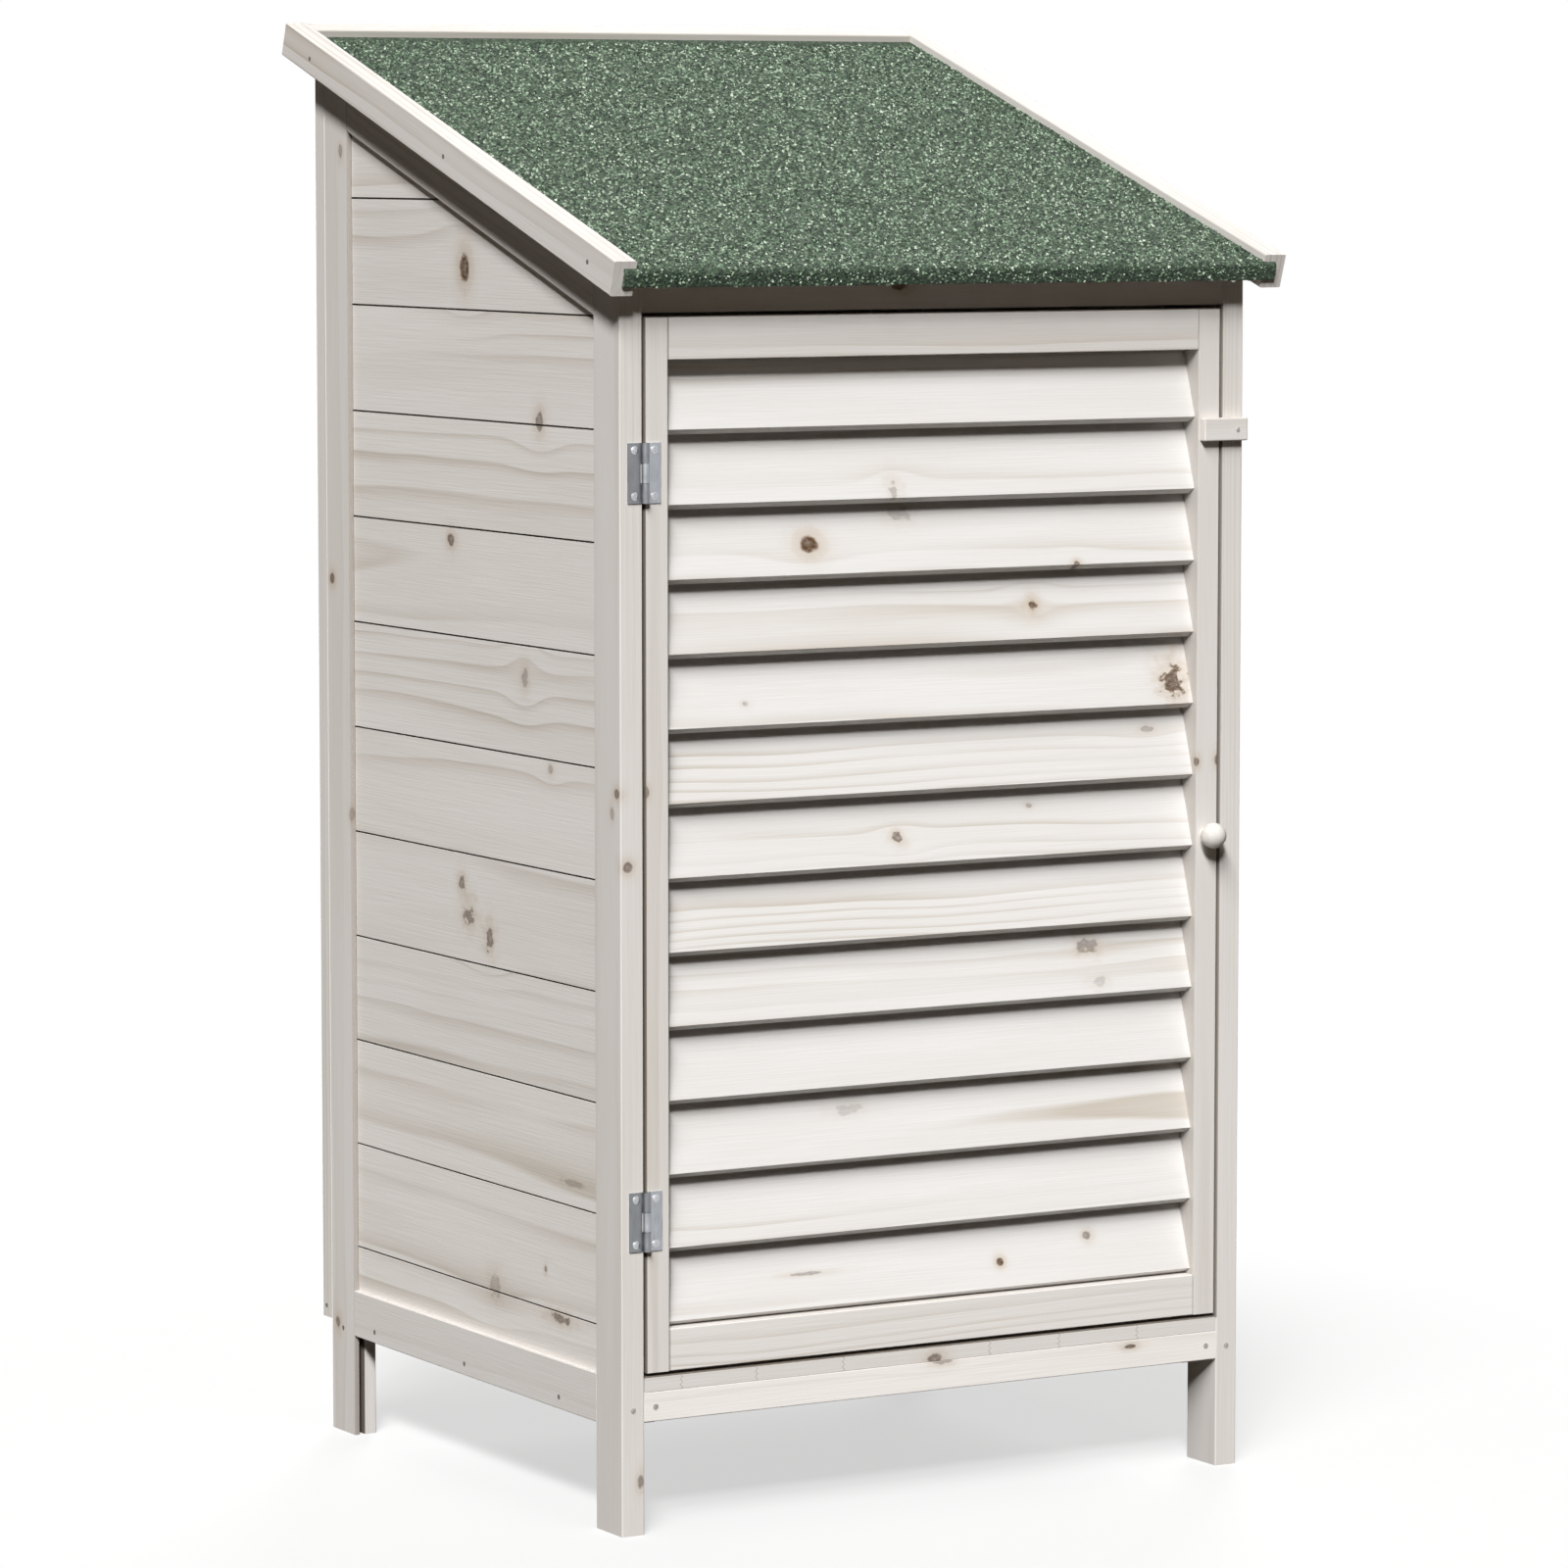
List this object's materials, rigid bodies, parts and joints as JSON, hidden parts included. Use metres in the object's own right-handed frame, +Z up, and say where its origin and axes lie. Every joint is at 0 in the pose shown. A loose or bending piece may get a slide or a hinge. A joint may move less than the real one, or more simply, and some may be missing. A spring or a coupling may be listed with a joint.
{
  "type": "garden shed",
  "caption": "Small whitewashed pine garden tool shed on legs, with boarded walls, a hinged louvred door, a turn button, a wooden knob and a sloping green felt roof.",
  "frame": {"origin": "on the ground, under the centre of the roof's plan outline", "axes": "+Z up, the door faces -Y, +X to the right of someone who faces the door"},
  "size_m": [0.5558, 0.5218, 1.0649],
  "materials": {
    "whitewashed_pine": "whitewashed softwood, matt, with the grain and knots showing through",
    "roof_felt": "green mineral-surfaced bitumen roofing felt, rough",
    "zinc_steel": "bright zinc-plated steel, satin"
  },
  "bodies": {
    "carcass": {"left_front_post": "whitewashed_pine", "right_front_post": "whitewashed_pine", "left_back_post": "whitewashed_pine", "right_back_post": "whitewashed_pine", "left_bottom_rail": "whitewashed_pine", "right_bottom_rail": "whitewashed_pine", "left_top_rail": "whitewashed_pine", "right_top_rail": "whitewashed_pine", "left_side_boards": "whitewashed_pine", "right_side_boards": "whitewashed_pine", "back_left_stile": "whitewashed_pine", "back_right_stile": "whitewashed_pine", "back_bottom_rail": "whitewashed_pine", "back_top_rail": "whitewashed_pine", "back_boards": "whitewashed_pine", "front_header": "whitewashed_pine", "front_sill": "whitewashed_pine", "left_floor_cleat": "whitewashed_pine", "right_floor_cleat": "whitewashed_pine", "floor_boards": "whitewashed_pine", "door_stop": "whitewashed_pine", "roof_deck": "whitewashed_pine", "roof_felt": "roof_felt", "left_barge_board": "whitewashed_pine", "right_barge_board": "whitewashed_pine", "back_barge_board": "whitewashed_pine", "upper_hinge_post_leaf": "zinc_steel", "lower_hinge_post_leaf": "zinc_steel", "upper_hinge_pin": "zinc_steel", "lower_hinge_pin": "zinc_steel", "hinge_post_screws": "zinc_steel", "frame_screws": "zinc_steel", "back_panel_screws": "zinc_steel", "back_frame_nails": "zinc_steel", "cleat_nails": "zinc_steel", "barge_nails": "zinc_steel", "turn_button_screw": "zinc_steel"},
    "door": {"door_hinge_stile": "whitewashed_pine", "door_latch_stile": "whitewashed_pine", "door_top_rail": "whitewashed_pine", "door_bottom_rail": "whitewashed_pine", "door_slat_01": "whitewashed_pine", "door_slat_02": "whitewashed_pine", "door_slat_03": "whitewashed_pine", "door_slat_04": "whitewashed_pine", "door_slat_05": "whitewashed_pine", "door_slat_06": "whitewashed_pine", "door_slat_07": "whitewashed_pine", "door_slat_08": "whitewashed_pine", "door_slat_09": "whitewashed_pine", "door_slat_10": "whitewashed_pine", "door_slat_11": "whitewashed_pine", "door_slat_12": "whitewashed_pine", "door_slat_13": "whitewashed_pine", "door_knob": "whitewashed_pine", "door_knob_screw": "zinc_steel", "upper_hinge_door_leaf": "zinc_steel", "lower_hinge_door_leaf": "zinc_steel", "hinge_door_screws": "zinc_steel"},
    "turn_button": {"turn_button": "whitewashed_pine"}
  },
  "joints": [
    {"name": "door_swing", "type": "hinge", "parent": "carcass", "child": "door", "pos_m": [-0.2402, -0.23577, 0.4853], "axis": [0, 0, -1], "range_deg": [0, 175]},
    {"name": "turn_button_pivot", "type": "hinge", "parent": "carcass", "child": "turn_button", "pos_m": [0.2502, -0.23307, 0.7676], "axis": [0, 1, 0], "continuous": true}
  ]
}
